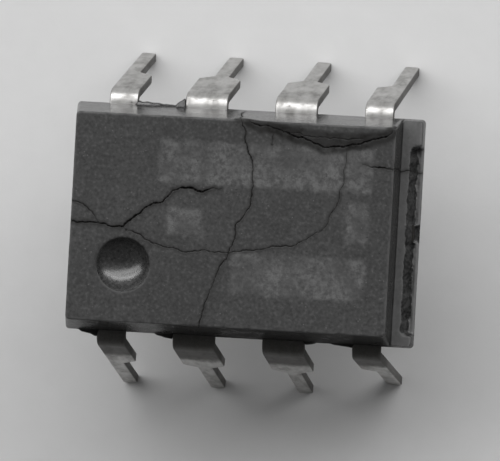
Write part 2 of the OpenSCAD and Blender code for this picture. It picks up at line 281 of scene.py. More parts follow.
# %% Crack lines
# each is its width, the length over which it fades out, the reach of the painted shade beside it,
# and its points, all in millimetres on the unrolled sheet
chance = random.Random(5)
CRACKS = [
    (0.045, 0.3, 0.08, [(-6.1, 0.8), (-5.3, 0.62), (-4.7, 0.4), (-4.29, 0.26), (-3.99, -0.06),
        (-3.9, -0.19)]),
    (0.06, 0.5, 0.1, [(-6.3, -0.3), (-5.4, -0.12), (-4.7, -0.17), (-3.9, -0.19), (-3.2, -0.26),
        (-2.61, 0.32), (-2.12, 0.51), (-1.87, 0.83), (-1.58, 0.93), (-0.49, 0.96)]),
    (0.034, 0.4, 0.07, [(-3.2, -0.26), (-2.61, -0.54), (-2.07, -0.74), (-1.48, -0.86),
        (-0.89, -0.77), (0.69, -0.67), (1.33, -0.54), (1.97, -0.32), (2.37, -0.06), (2.61, 0.45),
        (2.81, 0.83), (2.91, 1.25), (2.96, 2.11), (2.86, 2.4)]),
    (0.04, 0.3, 0.075, [(-0.15, 4.4), (-0.1, 3.5), (-0.06, 2.92), (0.1, 2.59), (0.34, 1.66),
        (0.39, 1.09), (0.34, 0.54), (-0.05, -0.03), (-0.25, -0.99), (-0.54, -1.54), (-0.79, -2.24),
        (-0.92, -2.9), (-0.98, -3.4), (-1.05, -4.2)]),
    (0.062, 0.6, 0.2, [(-0.1, 2.99), (0.34, 2.8), (1.05, 2.68), (1.45, 2.53), (1.93, 2.42),
        (2.33, 2.26), (2.86, 2.3), (3.35, 2.42), (3.78, 2.58), (4.2, 2.8), (4.34, 3.1)]),
    (0.032, 0.5, 0.2, [(1.05, 2.68), (1.6, 2.64), (2.2, 2.55), (2.75, 2.53), (3.2, 2.56),
        (3.78, 2.58)]),
    (0.04, 0.15, 0.07, [(0.89, 2.69), (0.84, 2.27)]),
    (0.05, 0.5, 0.08, [(3.42, 1.86), (3.9, 1.8), (4.29, 1.75), (4.9, 1.72), (5.62, 1.7),
        (5.9, 1.77), (6.4, 1.72)]),
]
CRACK_DEPTH = 0.12


def jagged(points, sideways, longest=0.06):
    """Splits each stretch in two until none is long, and moves every new middle sideways."""
    line = [Vector(p) for p in points]
    while True:
        grown = [line[0]]
        for here, there in zip(line, line[1:]):
            run = there - here
            if run.length > longest:
                push = chance.uniform(-sideways, sideways)
                grown.append((here + there) / 2 + Vector((-run.y, run.x)) * push)
            grown.append(there)
        if len(grown) == len(line):
            return np.array([tuple(p) for p in line])
        line = grown


crack_lines = []
for width, fade, stain_and_shade, points in CRACKS:
    line = jagged(points, 0.11)
    gone = distances(line)
    ends = np.clip(np.minimum(gone, gone[-1] - gone) / fade, 0.25, 1)
    wide = width * ends * np.array([chance.uniform(0.7, 1.15) for _ in line])
    wide *= 0.85 + 0.6 * wander(line, 1.1, 5.5)  # a crack opens and closes along its way
    crack_lines.append((line, wide, stain_and_shade))


def beside(line, offsets):
    """Rows of points beside a line, at multiples of its width there."""
    side = leftward(np.gradient(line[0], axis=0))
    return np.vstack([line[0] + side * (line[1] * k)[:, None] for k in offsets])


def crack_depth(points):
    """Depth of the cracks at each point of the sheet, and two masks from 0 to 1: in a crack, and
    in the band of painted shade beside one."""
    depth, mask, shade_beside = (np.zeros(len(points)) for _ in range(3))
    band_wobble = 1 + 0.35 * wander(points, 2.6, 9.3)
    for line, wide, stain_and_shade in crack_lines:
        near = np.where(np.all((points > line.min(0) - 0.3) & (points < line.max(0) + 0.3), 1))[0]
        best, width = np.full(len(near), 9.0), np.full(len(near), 0.05)
        for k in range(len(line) - 1):
            t, away = to_stretch(points[near], line[k], line[k + 1])
            closer = away < best
            best[closer] = away[closer]
            width[closer] = (wide[k] * (1 - t) + wide[k + 1] * t)[closer]
        cut = np.clip(1 - best / (width / 2), 0, 1)
        depth[near] = np.maximum(depth[near], cut * CRACK_DEPTH * np.clip(width / 0.08, 0, 1) ** 2)
        mask[near] = np.maximum(mask[near], np.clip(1.6 - best / (width * 0.5), 0, 1))
        # painted shade in a soft band beside each crack, wider where its reach is larger
        haze = step_between(stain_and_shade * 1.5, 0.02, best * band_wobble[near]) * min(1, stain_and_shade / 0.19)
        shade_beside[near] = np.maximum(shade_beside[near], haze)
    return depth, mask, shade_beside


print("cracks:", len(crack_lines), "points in them:", sum(len(c[0]) for c in crack_lines))

# %% [markdown]
# ## From the sheet to the block
#
# Each point of the sheet has a distance along the part and a distance across it. The two
# profiles turn these into a position and a drop below the top, and the larger drop wins, which
# folds the sheet down into walls. The upright corners are then rounded by sliding the points
# near them onto an arc. The last touches are pushed in or out of the surface: cracks, the round
# index mark, the broken band beside the shelf, and the thin webs of resin that crept between
# the leads.

# %% Local shapes of the body
CORNER_R = 0.11
DIMPLE_R, DIMPLE_DEPTH, LIP_DEPTH = 0.76, 0.42, 0.014
DIMPLE_AT = np.array([TOP_LEFT + 1.54, -TOP_SIDE + 1.6])
BALL_R = (DIMPLE_R ** 2 + DIMPLE_DEPTH ** 2) / (2 * DIMPLE_DEPTH)
BREAK_LOW, BREAK_HIGH = -2.8, 2.38  # the ends of the broken band
# bites out of the band: where each is, its width and its depth
BITES = [(2.22, 0.1, 0.1), (1.8, 0.13, 0.12), (1.38, 0.1, 0.09), (0.4, 0.2, 0.1),
         (-0.3, 0.12, 0.08), (-1.25, 0.3, 0.14), (-1.62, 0.12, 0.1), (-2.3, 0.16, 0.12)]
PITCH = 2.54
# webs of resin: from where to where, on which wall, and how far out
WEBS = [(-4.02, -4.53, -1, 0.16), (-1.87, -2.37, -1, 0.14), (1.87, 2.17, -1, 0.08),
        (3.21, 2.61, -1, 0.08), (-1.87, -2.12, 1, 0.26), (-3.21, -2.01, 1, 0.1)]
WEB_HALF = THICK / 2
TIE_HALF, TIE_DEPTH = 0.24, 0.18  # the gaps over the sheared tie bars
EJECTOR_X, EJECTOR_R, EJECTOR_DEPTH = 2.9, 0.55, 0.08


def web_reach(x, side):
    """How far a web of resin stands out of the wall at x, on the wall of that side."""
    reach = np.zeros_like(x)
    for near, far, wall, out in WEBS:
        t = (x - near) / (far - near)
        inside = plateau(-0.05, 0.0, 0.9, 1.04, t)
        reach = np.maximum(reach, np.where(side == wall, out * (1 - 0.7 * t) * inside, 0))
    return reach


def round_corner(x, y, out_x, out_y, radius):
    """Slides points near an upright corner, whose outline is at out_x and out_y, onto an arc."""
    u, v = out_x - np.abs(x), out_y - np.abs(y)
    least, most = np.minimum(u, v), np.maximum(u, v)
    room = np.clip(radius - least, 1e-9, None)
    turn = (math.pi / 4) * (1 - np.clip((most - least) / room, 0, 1))
    long, short = radius - room * np.cos(turn), radius - room * np.sin(turn)
    touched = (most < radius) & (least > -0.02)
    new_x = out_x - np.where(u <= v, long, short)
    new_y = out_y - np.where(u <= v, short, long)
    return np.where(touched, np.sign(x) * new_x, x), np.where(touched, np.sign(y) * new_y, y)


print("dimple ball radius:", round(BALL_R, 3))

# %% Folding the sheet
def fold(sheet, way, cross, upper):
    """Folds sheet points, counted from the middle of the part, into points of the block."""
    s, t = sheet[:, 0] + way.middle, sheet[:, 1] + cross.middle
    if upper:
        edge = way.run[5]
        line = np.stack([t, t * 0], 1)
        ragged = 0.07 * wander(line, 4.3, 1.7) + 0.04 * wander(line, 13, 6.1)
        on_top = step_between(UP, UP - 0.2, cross(t)[1])  # the parting line itself stays put
        s = s + ragged * plateau(edge - 0.2, edge, edge + 0.06, edge + 0.3, s) * on_top
    x, drop_x = way(s)
    y, drop_y = cross(t)
    if upper:
        whole_x, whole_drop = unbroken_x(s)
        keep = np.maximum(step_between(BREAK_HIGH - 0.06, BREAK_HIGH + 0.1, y),
                          step_between(BREAK_LOW + 0.06, BREAK_LOW - 0.1, y))
        x, drop_x = x + (whole_x - x) * keep * on_top, drop_x + (whole_drop - drop_x) * keep
    height = UP if upper else DOWN
    drop = np.maximum(drop_x, drop_y)
    up = height - drop
    out_x, out_y = HALF_LEN - up * END_SLOPE, HALF_WID - up * SIDE_SLOPE
    if upper:
        on_step = (x > 0) & (x < STEP_FOOT + 0.07) & (drop < SHELF_DROP + 0.02)
        out_x = np.where(on_step, TOP_RIGHT + drop * 0.0244, out_x)  # the step's own steep wall
    x, y = round_corner(x, y, out_x, out_y, CORNER_R)
    return np.stack([x, y, up if upper else -up], 1)


def normals(sheet, way, cross, upper):
    """Outward directions of the folded sheet, from points a hair apart."""
    across_x, across_y = (
        fold(sheet + hair, way, cross, upper) - fold(sheet - hair, way, cross, upper)
        for hair in 0.002 * np.eye(2)
    )
    out = np.cross(across_x, across_y) * (1 if upper else -1)
    size = np.linalg.norm(out, axis=1)
    out[size < 1e-12] = (0, 0, 1 if upper else -1)
    return out / np.maximum(size, 1e-12)[:, None]


def parting_touches(p):
    """Webs of resin between the leads and the gaps of the sheared tie bars, at the parting."""
    x, y, z = p.T
    rough = 1 + 0.35 * wander(np.stack([x, y * 0], 1), 7, 3.1)
    band = step_between(WEB_HALF + 0.03, WEB_HALF - 0.01, np.abs(z))
    on_side = np.abs(y) > HALF_WID - 0.1
    reach = web_reach(x, np.sign(y)) * rough
    y = y + np.where(on_side, np.sign(y) * reach * band, 0)
    tie = step_between(TIE_HALF + 0.02, TIE_HALF - 0.02, np.abs(y)) * band
    x = x - np.where(np.abs(x) > HALF_LEN - 0.15, np.sign(x) * TIE_DEPTH * tie, 0)
    return np.stack([x, y, z], 1)


print("fold ready")

# %% Where the points of a half go
def even_run(half, spacing=0.07):
    """Places from -half to half, closer together at both ends where the corners are round."""
    close = half - np.array([0, 0.01, 0.022, 0.036, 0.055, 0.08, 0.12])
    inner = np.linspace(-close[-1], close[-1], int(2 * close[-1] / spacing))
    return np.unique(np.round(np.concatenate([-close, inner, close]), 6))


def border(profile, half):
    """Where the sheet of a half meets the parting line: the same places on the block for both."""
    inner = profile.where(even_run(half)[1:-1])
    return np.concatenate([[0], inner, [profile.run[-1]]]) - profile.middle


def at_parting(points):
    """Whether each point lies on the parting plane."""
    return np.abs(points[:, 2]) < 1e-6


def scatter(way, cross, upper, seed):
    """All points of one half's sheet."""
    net = np.random.default_rng(seed)
    a, b = border(way, HALF_LEN), border(cross, HALF_WID)
    low, high = (a[0], b[0]), (a[-1], b[-1])
    spots = Spots(low, high)
    for upright, run in ((False, a), (True, b)):
        for level in (low[not upright], high[not upright]):
            spots.row(level, run, upright, 1e-6)
    if upper:
        slopes = np.linspace(0.04, math.asin(DIMPLE_R / BALL_R), 20)
        for r in [*(BALL_R * np.sin(slopes)), DIMPLE_R + 0.014, DIMPLE_R + 0.03, DIMPLE_R + 0.06]:
            spots.add(circle(DIMPLE_AT, r, max(8, int(96 * min(1, r / 0.5)))), 0.004)
        for line in crack_lines:
            spots.add(beside(line, (0, 0.5, -0.5, 0.25, -0.25, 0.8, -0.8, 1.4, -1.4)), 0.011)
    soft = np.array([0, 0.022, -0.022, 0.045, -0.045, 0.075, -0.075, 0.12, -0.12])
    for profile in (way, cross):
        for knot in profile.run[2:-2]:
            spots.rows(knot - profile.middle + soft, profile is way, 0.07, 0.016)
    rim = np.array([0.012, 0.025, 0.05, 0.075, 0.1, 0.115, 0.13, 0.145, 0.16, 0.19, 0.23])
    for upright in (False, True):
        for levels in (low[not upright] + rim, high[not upright] - rim):
            spots.rows(levels, upright, 0.06, 0.01)
    slant = np.linspace(0, 1.66, 30)
    for side_x, edge_x in ((-1, way.run[2] - way.middle), (1, way.run[3] - way.middle)):
        for side_y in (-1, 1):
            corner = np.stack([edge_x + side_x * slant, side_y * (TOP_SIDE + slant)], 1)
            for shift in (0, 0.04, -0.04, 0.09, -0.09, 0.15, -0.15):
                spots.add(corner + [shift, -shift * side_x * side_y], 0.016)
    if upper:
        spots.net(((STEP_FOOT + SHELF_DROP - 0.1, low[1]), high), 0.045, net, 0.025)
        spots.net((low, high), 0.075, net, 0.045)
    else:
        for x in (-EJECTOR_X, EJECTOR_X):
            for step in (-0.05, -0.03, -0.015, 0, 0.015, 0.03, 0.06):
                spots.add(circle((x, 0), EJECTOR_R + step, 60), 0.008)
        spots.net((low, high), 0.11, net, 0.06)
    return spots.points


print("points along half of the parting line:", len(even_run(HALF_LEN)))

# %% The two halves of the moulding
def worn_edges(sheet, way, cross):
    """1 on the rim of the flat top or bottom, where handling rubs, and 0 a hair away from it."""
    along, over = sheet[:, 0] + way.middle, sheet[:, 1] + cross.middle
    rim = np.zeros(len(sheet))
    for here, knots, other, span in (
            (along, way.run, over, cross.run), (over, cross.run, along, way.run)):
        near = np.minimum(np.abs(here - knots[2]), np.abs(here - knots[3]))
        beyond = np.maximum(span[2] - other, other - span[3])
        rim = np.maximum(rim, step_between(0.07, 0.01, near) * step_between(0.06, 0.0, beyond))
    return rim


def half_body(way, cross, upper, seed):
    """One half of the moulding: its points in millimetres from the parting plane, its triangles
    and the masks that its finish needs."""
    sheet, faces = triangles(scatter(way, cross, upper, seed))
    points = fold(sheet, way, cross, upper)
    out = normals(sheet, way, cross, upper)
    masks = {name: np.zeros(len(sheet)) for name in (
        "crack", "stain_and_shade", "broken", "polished", "ledge", "painted_wall_shade")}
    masks["wall"] = step_between(0.75, 0.35, np.abs(out[:, 2]))
    masks["worn"] = worn_edges(sheet, way, cross)
    x, y = points[:, 0], points[:, 1]
    # painted shade on the front wall, which faces away from the lamps: full round the first lead
    # and from left of the second lead to near the right end, lighter elsewhere
    heavier_shade = np.maximum(step_between(-2.3, -1.8, x), np.exp(-(((x + 1.5 * PITCH) / 0.6) ** 2)))
    masks["painted_wall_shade"] = masks["wall"] * step_between(-2.6, -2.95, y) * (
        0.4 + 0.6 * heavier_shade * step_between(4.5, 4.1, x))
    push = 0.006 * wander(points, 0.9, seed) + 0.0022 * wander(points, 6.0, seed + 4)
    if upper:
        depth, masks["crack"], masks["stain_and_shade"] = crack_depth(sheet)
        s = sheet[:, 0] + way.middle
        step_top, step_foot, shelf_rim, break_foot = way.run[3:7]
        inside = plateau(BREAK_LOW - 0.02, BREAK_LOW + 0.1, BREAK_HIGH - 0.1, BREAK_HIGH + 0.02, y)
        band = plateau(shelf_rim - 0.05, shelf_rim + 0.03, break_foot - 0.01, break_foot + 0.07, s)
        torn = 0.02 + 0.05 * np.abs(wander(points, 9, 2.0)) + 0.04 * np.abs(wander(points, 21, 8.0))
        for middle, width, deep in BITES:
            torn = torn + 0.6 * deep * np.exp(-(((y - middle) / width) ** 2))
        torn = torn * step_between(0.2, 0.34, np.abs(y))  # the resin over the tie bar holds
        masks["broken"] = plateau(
            shelf_rim - 0.14, shelf_rim + 0.1, break_foot - 0.08, break_foot + 0.1, s
        ) * plateau(BREAK_LOW - 0.2, BREAK_LOW + 0.2, BREAK_HIGH - 0.2, BREAK_HIGH + 0.2, y)
        masks["ledge"] = step_between(step_foot - 0.02, step_foot + 0.04, s) * (1 - masks["wall"])
        masks["ledge"] *= 0.6 + 0.4 * step_between(break_foot - 0.1, break_foot, s)
        on_step = plateau(step_top, step_top + 0.1, step_foot - 0.03, step_foot + 0.03, s)
        # painted shade, at half strength, on the step's own steep wall
        masks["painted_wall_shade"] = np.maximum(masks["painted_wall_shade"], 0.5 * on_step * masks["wall"])
        r = np.linalg.norm(sheet - DIMPLE_AT, axis=1)
        bowl = np.sqrt(np.clip(BALL_R ** 2 - r ** 2, 0, None)) - (BALL_R - DIMPLE_DEPTH)
        lip = LIP_DEPTH * np.clip(1 - (r - DIMPLE_R) / 0.06, 0, 1) ** 2
        points[:, 2] -= np.where(r < DIMPLE_R, bowl + LIP_DEPTH, lip)
        masks["polished"] = step_between(DIMPLE_R + 0.01, DIMPLE_R - 0.03, r)
        push = push - depth - band * inside * torn
    else:
        r = np.hypot(np.abs(sheet[:, 0]) - EJECTOR_X, sheet[:, 1])
        points[:, 2] += EJECTOR_DEPTH * step_between(EJECTOR_R + 0.01, EJECTOR_R - 0.02, r)
        masks["polished"] = 0.6 * step_between(EJECTOR_R + 0.02, EJECTOR_R - 0.02, r)
    points = points + out * np.where(at_parting(points), 0, push)[:, None]
    points = parting_touches(points)
    if not upper:
        faces = faces[:, ::-1]
    return points, faces, masks


top_half = half_body(upper_x, upper_y, True, 11)
low_half = half_body(under_x, under_y, False, 12)
print("points in the upper and lower half:", len(top_half[0]), len(low_half[0]))

# %% One closed mesh
def put(name, data):
    """Puts a new object into the scene."""
    piece = bpy.data.objects.new(name, data)
    bpy.context.scene.collection.objects.link(piece)
    return piece


def put_mesh(name, points, faces, masks):
    """Makes a piece from points in millimetres, with its masks, and lets it ride on the frame."""
    mesh = bpy.data.meshes.new(name)
    mesh.from_pydata((np.asarray(points) * MM).tolist(), [], [tuple(map(int, f)) for f in faces])
    for label, values in masks.items():
        mask = mesh.attributes.new(label, "FLOAT", "POINT")
        mask.data.foreach_set("value", np.asarray(values, np.float32))
    mesh.polygons.foreach_set("use_smooth", [True] * len(mesh.polygons))
    mesh.update()
    piece = put(name, mesh)
    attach(piece, "root")
    return piece


def joined(first, second):
    """Joins two halves along the border that they share."""
    ours, theirs = (np.where(at_parting(half[0]))[0] for half in (first, second))
    home = np.arange(len(second[0])) + len(first[0])
    for i in theirs:
        off = np.linalg.norm(first[0][ours] - second[0][i], axis=1)
        if off.min() < 1e-3:
            home[i] = ours[off.argmin()]
    faces = np.vstack([first[1], home[second[1]]])
    used, faces = np.unique(faces, return_inverse=True)
    faces = faces.reshape(-1, 3)
    points = np.vstack([first[0], second[0]])[used]
    masks = {k: np.concatenate([first[2][k], second[2][k]])[used] for k in first[2]}
    return points, faces, masks


def edge_use(faces):
    """Every edge of a mesh of triangles, with the directions in which they run along it."""
    use = {}
    for f in faces:
        for a, b in ((f[2], f[0]), (f[0], f[1]), (f[1], f[2])):
            use.setdefault((min(a, b), max(a, b)), []).append((a, b))
    return use


points, faces, masks = joined(top_half, low_half)
body = put_mesh("moulded_body", points + [0, 0, PARTING], faces, masks)
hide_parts("body")
open_edges = sum(len(use) != 2 for use in edge_use(faces.tolist()).values())
print("body triangles:", len(faces), "open edges:", open_edges)

# %% [markdown]
# ## The leads
#
# A real lead starts as flat sheet: a press stamps its outline, and later another press folds it
# over the edge of the moulding. We follow the same road. The outline is drawn flat, filled with
# triangles, given a top and a bottom skin with the small roll-over that a press leaves, and then
# every point is carried along the path of the lead: straight out of the body, round a tight
# bend, and down a leg that leans outwards. Wide shoulders stop the chip on its board, and narrow
# tips go through the holes. Inside the body a finger with a locking hole runs to the die.

# %% The path and the outline of a lead
LEADS = range(1, 9)  # 1 to 4 stand in front, 5 to 8 at the back
BEND_R = 0.1
CORNER_Y = 3.57  # where the outer faces of lead and leg would meet if the bend were sharp
TIP_DROP, TAPER = 3.25, 0.38
SHOULDER, TIP, TIP_CUT = 1.19, 0.42, 0.05
ROOT_Y = HALF_WID - 0.95
HOLE_R, HOLE_Y = 0.2, ROOT_Y + 0.475
FINGER_HALF, FINGER_END = 0.3, 1.25
SIDE_TIP = (1.75, 1.09, 0.49)  # an end lead's fingertip: its X, and its far and near Y
SPLAY = {n: 11.8 for n in LEADS} | {4: 8.0}


def lead_path(n):
    """How far a lead leans, where its bend starts and how long that is, the height of the bend's
    centre, and the length of the leg."""
    lean = math.radians(SPLAY[n])
    start = CORNER_Y - (BEND_R + THICK) * math.tan((math.pi / 2 - lean) / 2)
    bend = (BEND_R + THICK / 2) * (math.pi / 2 - lean)
    centre = PARTING + THICK / 2 - (BEND_R + THICK)
    leg = (centre + BEND_R * math.sin(lean)) / math.cos(lean)
    return lean, start, bend, centre, leg


def lead_outline(n):
    """The flat outline of a lead, as across and along, from the finger to the tip."""
    lean, start, bend, _, leg = lead_path(n)
    place = PITCH * (n - 2.5 if n <= 4 else 6.5 - n)
    outer = 0 if n in (2, 3, 6, 7) else int(math.copysign(1, place))
    left = TIP / 2 if outer < 0 else SHOULDER / 2
    right = TIP / 2 if outer > 0 else SHOULDER / 2
    stop = start + bend + leg - TIP_DROP / math.cos(lean)
    end = start + bend + leg
    t = TIP / 2
    leg_side = [
        (right, ROOT_Y), (right, stop), (t, stop + TAPER), (t, end - TIP_CUT), (t - TIP_CUT, end),
        (TIP_CUT - t, end), (-t, end - TIP_CUT), (-t, stop + TAPER), (-left, stop), (-left, ROOT_Y),
    ]
    if outer == 0:
        finger = [(side * FINGER_HALF, y) for side, y in (
            (-1, ROOT_Y), (-1, FINGER_END), (1, FINGER_END), (1, ROOT_Y))]
    else:
        reach, far, near = SIDE_TIP
        tip_x, root = outer * (reach - abs(place)), -outer * SHOULDER / 2
        wide = outer * 2 * FINGER_HALF
        finger = [(root, ROOT_Y), (tip_x, far), (tip_x, near), (tip_x + wide, near),
                  (root + wide, ROOT_Y)]
        leg_side.remove((root, ROOT_Y))
        if outer < 0:
            finger.reverse()
    return place, finger + leg_side, ((right - left) / 2, HOLE_Y)


print("lead path, mm:", [round(v, 3) for v in lead_path(1)])

# %% Filling an outline
def resampled(outline, spacing):
    """The closed outline with extra points, so that none of its sides is long."""
    points = []
    for here, there in zip(outline, outline[1:] + outline[:1]):
        here, there = np.array(here), np.array(there)
        n = max(1, int(np.linalg.norm(there - here) / spacing))
        points += [here + (there - here) * k / n for k in range(n)]
    return np.array(points)


def distance_to(points, loop):
    """Distance from each point to a closed loop of points, and whether it is inside."""
    best, inside = np.full(len(points), 9.0), np.zeros(len(points), bool)
    for a, b in zip(loop, np.roll(loop, -1, axis=0)):
        best = np.minimum(best, to_stretch(points, a, b)[1])
        crosses = (a[1] > points[:, 1]) != (b[1] > points[:, 1])
        with np.errstate(divide="ignore", invalid="ignore"):
            at = a[0] + (points[:, 1] - a[1]) / (b[1] - a[1]) * (b[0] - a[0])
        inside ^= crosses & (points[:, 0] < at)
    return best, inside


def inset(loop, amount, outward):
    """The loop's points moved inwards, or outwards for a hole."""
    side = leftward(np.roll(loop, -1, axis=0) - np.roll(loop, 1, axis=0))
    return loop + side * (-amount if outward else amount)


def blank(outline, hole, spacing, chance):
    """Fills a flat outline with a round hole; gives points, triangles and distance to the edge."""
    loop = resampled(outline, spacing)
    ring = circle(hole, HOLE_R, 28)
    spots = Spots(loop.min(0) - 1, loop.max(0) + 1)
    spots.add(loop, 1e-6)
    spots.add(ring, 1e-6)
    edges = [(k, (k + 1) % len(loop)) for k in range(len(loop))]
    edges += [(len(loop) + k, len(loop) + (k + 1) % len(ring)) for k in range(len(ring))]
    fixed = len(spots.points)
    for amount in (0.01, 0.024, 0.045):
        spots.add(inset(loop, amount, False), 0.008)
        spots.add(inset(ring, amount, True), 0.008)
    spots.net((loop.min(0), loop.max(0)), spacing, chance, spacing * 0.6)

    def measure(points):
        """Distance to the nearest edge, outer or round the hole, and whether it is in the loop."""
        from_loop, inside = distance_to(points, loop)
        return np.minimum(from_loop, np.linalg.norm(points - hole, axis=1) - HOLE_R), inside

    points = np.array(spots.points)
    from_edge, inside = measure(points)
    good = inside & (from_edge > 0.006)
    good[:fixed] = True
    points, faces = triangles(points[good], edges)
    from_edge, inside = measure(points[faces].mean(1))
    keep = inside & (from_edge > -0.002)
    return points, faces[keep], np.clip(measure(points)[0], 0, None)


print("blank ready")

# %% Forming the leads
def formed_lead(n):
    """Stamps, thickens and folds one lead; gives its points, triangles and masks."""
    place, outline, hole = lead_outline(n)
    lean, start, bend, centre, leg = lead_path(n)
    chance = np.random.default_rng(40 + n)
    flat, faces, from_edge = blank(outline, hole, 0.075, chance)
    skins = []
    for side, roll in ((1, 0.045), (-1, 0.022)):
        d = np.clip(from_edge / roll, 0, 1)
        high = THICK / 2 - roll + roll * np.sqrt(1 - (1 - d) ** 2)
        lump = 0.007 * wander(flat, 2.6, n * 3.7 + side) + 0.003 * wander(flat, 9, n * 1.9 + side)
        skins.append(side * (high + lump * d))
    count = len(flat)
    rim = [use[0] for use in edge_use(faces).values() if len(use) == 1]
    solid = [tuple(f) for f in faces] + [tuple(f[::-1] + count) for f in faces]
    solid += [(b, a, a + count, b + count) for a, b in rim]
    across, along = np.tile(flat.T, 2)
    height = np.concatenate(skins)
    bent = np.clip((along - start) / bend, 0, 1)
    turn = bent * (math.pi / 2 - lean)
    down = np.clip(along - start - bend, 0, None)
    mid_r = BEND_R + THICK / 2
    # the bend runs round its centre, and the leg leaves along the last direction
    y = np.minimum(along, start) + (mid_r + height) * np.sin(turn) + down * np.sin(lean)
    z = centre + (mid_r + height) * np.cos(turn) - down * np.cos(lean)
    points = np.stack([across + place, y, z], 1)
    worn = np.tile(np.clip(1 - from_edge / 0.05, 0, 1), 2)
    if n <= 4:
        points[:, 1] *= -1
        solid = [f[::-1] for f in solid]
        # painted shade: the body's shadow over the flat, the bend and the upper leg of a front lead
        lead_shade = step_between(2.1, 0.7, down)
    else:
        # painted shade, lighter, on the back leg just past its bend
        lead_shade = 0.4 * step_between(0.7, 1.0, bent) * step_between(1.7, 0.5, down)
    return points, solid, {"edge": worn, "reach": np.clip(down / leg, 0, 1), "lead_shade": lead_shade}


for n in LEADS:
    points, faces, masks = formed_lead(n)
    piece = put_mesh(f"formed_lead_{n}", points, faces, masks)
    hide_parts(f"lead_{n}")
    low, high = (np.array(corner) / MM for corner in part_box(f"lead_{n}"))
    print(piece.name, len(faces), "faces; off its solid's box by, mm:",
          np.round(points.min(0) - low, 3), np.round(points.max(0) - high, 3))

# %% [markdown]
# ## Arithmetic on sockets
#
# A finish is a network of nodes, and most of its nodes are plain sums. Laid out one by one they
# hide the idea, so we wrap an output socket in a small class: adding or multiplying two wrapped
# sockets puts the Math node in for us, and `1 - mask` reads as it would on paper.

# %% A socket to reckon with
def sums(operation, turned=False):
    """A method that puts in a Math node for one kind of sum."""
    def method(self, other):
        values = (other, self) if turned else (self, other)
        return self.finish.add("Math", {"operation": operation}, dict(enumerate(values)))
    return method


class Wire:
    """The output of a node. Arithmetic on it adds Math nodes to the same finish."""

    def __init__(self, finish, socket):
        self.finish, self.socket = finish, socket

    __add__ = __radd__ = sums("ADD")
    __sub__, __rsub__ = sums("SUBTRACT"), sums("SUBTRACT", turned=True)
    __mul__ = __rmul__ = sums("MULTIPLY")
    or_more = sums("MAXIMUM")

    def size(self):
        return self.finish.add("Math", {"operation": "ABSOLUTE"}, {0: self})

    def rise(self, low, high):
        """0 up to low, 1 from high on, and a smooth slope between; it falls where low is larger."""
        return self.finish.add("MapRange", {"interpolation_type": "SMOOTHSTEP"},
                               {"Value": self, "From Min": low, "From Max": high})


print("a socket can now be added, subtracted, multiplied and shaped with rise()")

# %% A finish, node by node
class Network:
    """A tree of nodes, of a material or of the sky."""

    def __init__(self, owner):
        owner.use_nodes = True
        self.owner, self.tree = owner, owner.node_tree

    def add(self, kind, settings=None, sockets=None, output=0):
        """Adds a node, sets it, fills its sockets with values or wires, and gives one output."""
        node = self.tree.nodes.new("ShaderNode" + kind)
        for key, value in (settings or {}).items():
            setattr(node, key, value)
        self.fill(node, sockets or {})
        return Wire(self, node.outputs[output])

    def fill(self, node, sockets):
        for key, value in sockets.items():
            if isinstance(value, Wire):
                self.tree.links.new(value.socket, node.inputs[key])
            else:
                node.inputs[key].default_value = value


class Finish(Network):
    """A material that ends in one Principled shader, with the few nodes that our finishes share."""

    def __init__(self, name, steady=None):
        super().__init__(bpy.data.materials.new(name))
        self.tree.nodes.clear()
        self.shader = self.add("BsdfPrincipled", sockets=steady)
        self.end = self.tree.nodes.new("ShaderNodeOutputMaterial")
        self.fill(self.end, {"Surface": self.shader})
        here = self.add("TexCoord", output="Object")
        self.place = self.add("VectorMath", {"operation": "SCALE"}, {0: here, "Scale": 1 / MM})

    def mask(self, name):
        """A mask that was stored on the mesh, point by point."""
        return self.add("Attribute", {"attribute_name": name}, output="Fac")

    def cloud(self, per_mm, detail=3.0, seed=0.0, rough=0.5):
        """Soft noise between 0 and 1, with about that many lumps in a millimetre."""
        return self.add("TexNoise", {"noise_dimensions": "4D"}, {
            "Vector": self.place, "W": seed, "Scale": per_mm, "Detail": detail, "Roughness": rough})

    def specks(self, per_mm, spread=1.0, distance="EUCLIDEAN"):
        """Distance to the nearest of many scattered points, for grains, pits and blocks."""
        return self.add("TexVoronoi", {"distance": distance},
                        {"Vector": self.place, "Scale": per_mm, "Randomness": spread}, "Distance")

    def blend(self, first, second, share):
        """Mixes two colours, each a grey level, a colour or a wire."""
        first, second = ((c, c, c, 1) if isinstance(c, float) else c for c in (first, second))
        return self.add("Mix", {"data_type": "RGBA"}, {0: share, 6: first, 7: second}, 2)

    def layer(self, colour, share):
        """Lays one more colour over what is there."""
        self.tone = self.blend(self.tone, colour, share)

    def relief(self, height, depth):
        """A Bump node: height 0 to 1 stands for a depth in millimetres."""
        return self.add("Bump", {}, {"Height": height, "Distance": depth * MM})

    def cover(self, second, share):
        """Lays a second shader over the first one, by a share from 0 to 1."""
        both = self.add("MixShader", {}, {0: share, 1: self.shader, 2: second})
        self.fill(self.end, {"Surface": both})

    def done(self, **sockets):
        """Fills the shader; a name such as Coat_Weight stands for the socket Coat Weight."""
        named = {name.replace("_", " "): value for name, value in sockets.items()}
        self.fill(self.shader.socket.node, {"Base Color": self.tone} | named)
        print(self.owner.name, "has", len(self.tree.nodes), "nodes")
        return self.owner


print("a finish starts with one shader and ends with done()")
